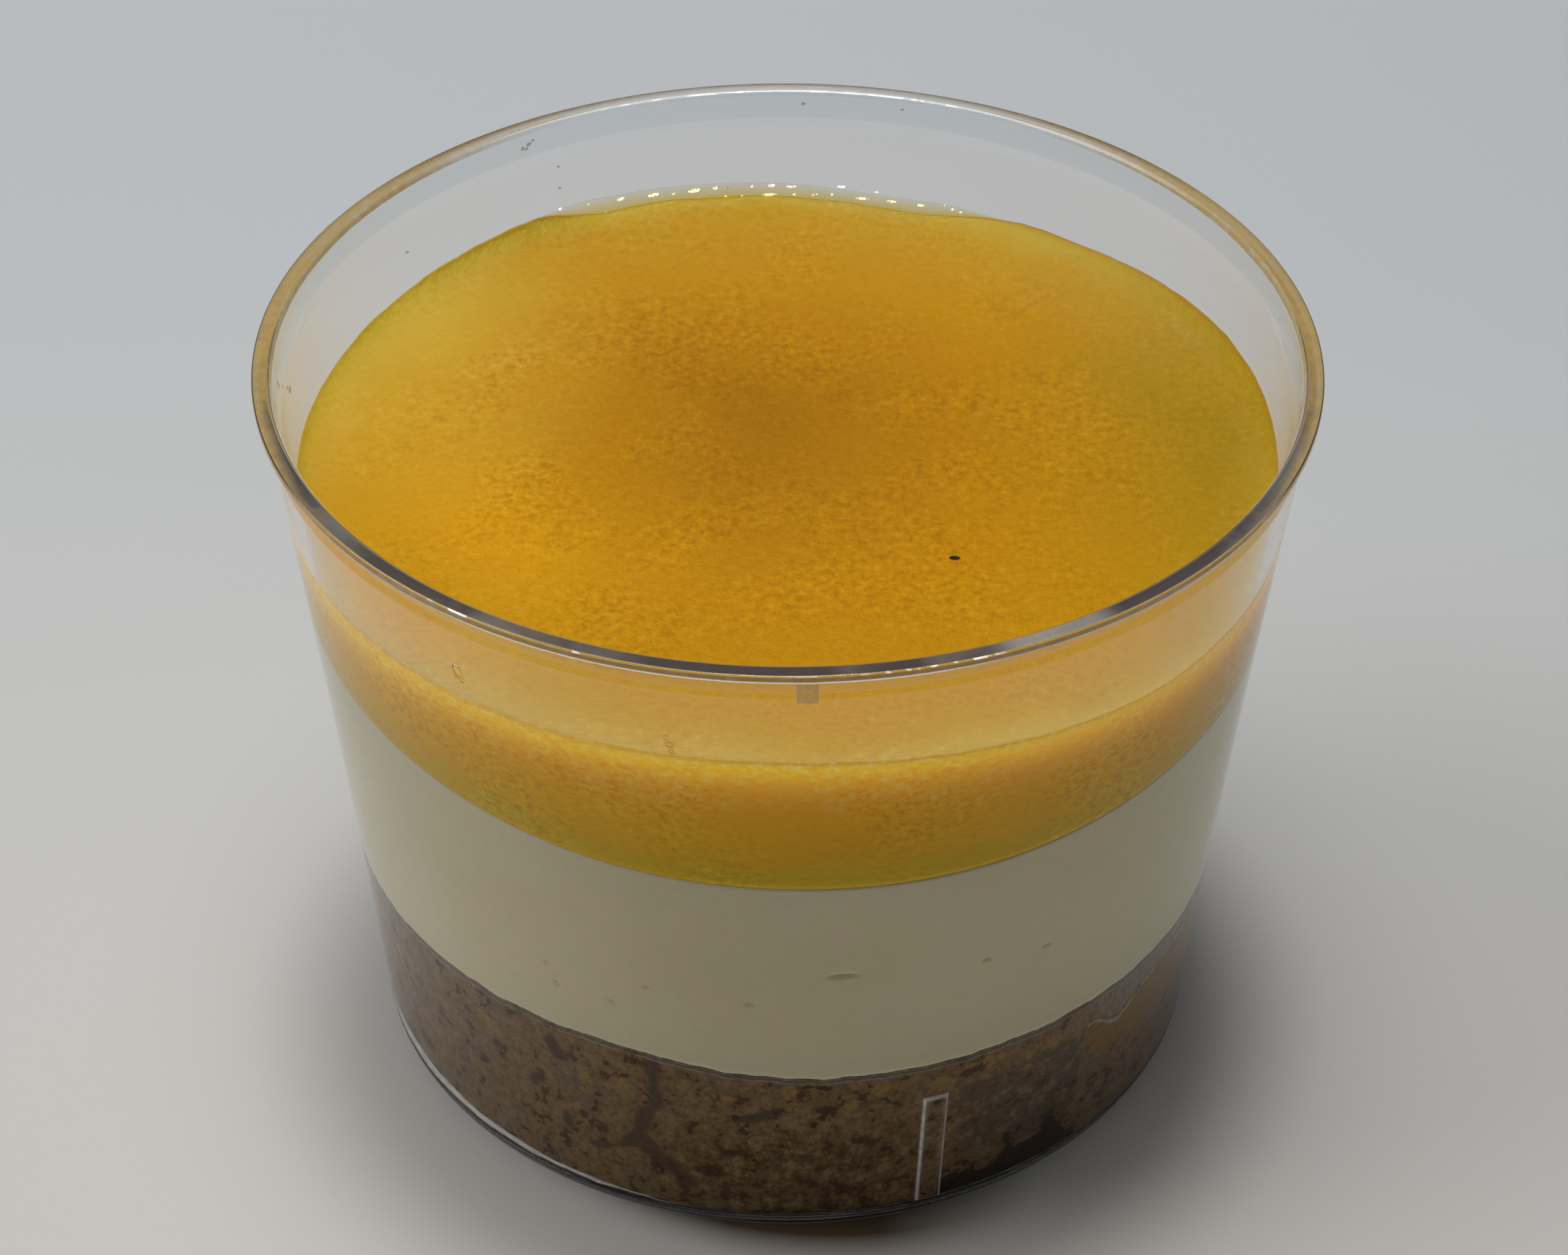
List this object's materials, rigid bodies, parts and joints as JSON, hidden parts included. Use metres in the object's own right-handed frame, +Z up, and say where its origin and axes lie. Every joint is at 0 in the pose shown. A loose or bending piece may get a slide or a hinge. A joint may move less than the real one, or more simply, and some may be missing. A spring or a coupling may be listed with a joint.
{
  "type": "layered cheesecake in a clear tumbler",
  "caption": "Single-serve layered cheesecake in a clear tapered tumbler: crumb base, set cream-cheese layer and fruit-jelly topping, with free wall above the jelly.",
  "frame": {"origin": "centre of the plane that the tumbler's foot ring stands on", "axes": "+Z up along the tumbler's axis; -Y towards the front, where the gate stub is"},
  "size_m": [0.074, 0.074, 0.0554],
  "materials": {
    "clear_plastic": "clear moulded plastic, polished",
    "biscuit_crumb": "pressed biscuit crumb, rough",
    "cream_cheese": "set cream, smooth and soft",
    "fruit_jelly": "fruit jelly, wet and grainy"
  },
  "bodies": {
    "root": {"cup": "clear_plastic", "biscuit_base": "biscuit_crumb", "cream_layer": "cream_cheese", "fruit_topping": "fruit_jelly"}
  },
  "joints": []
}
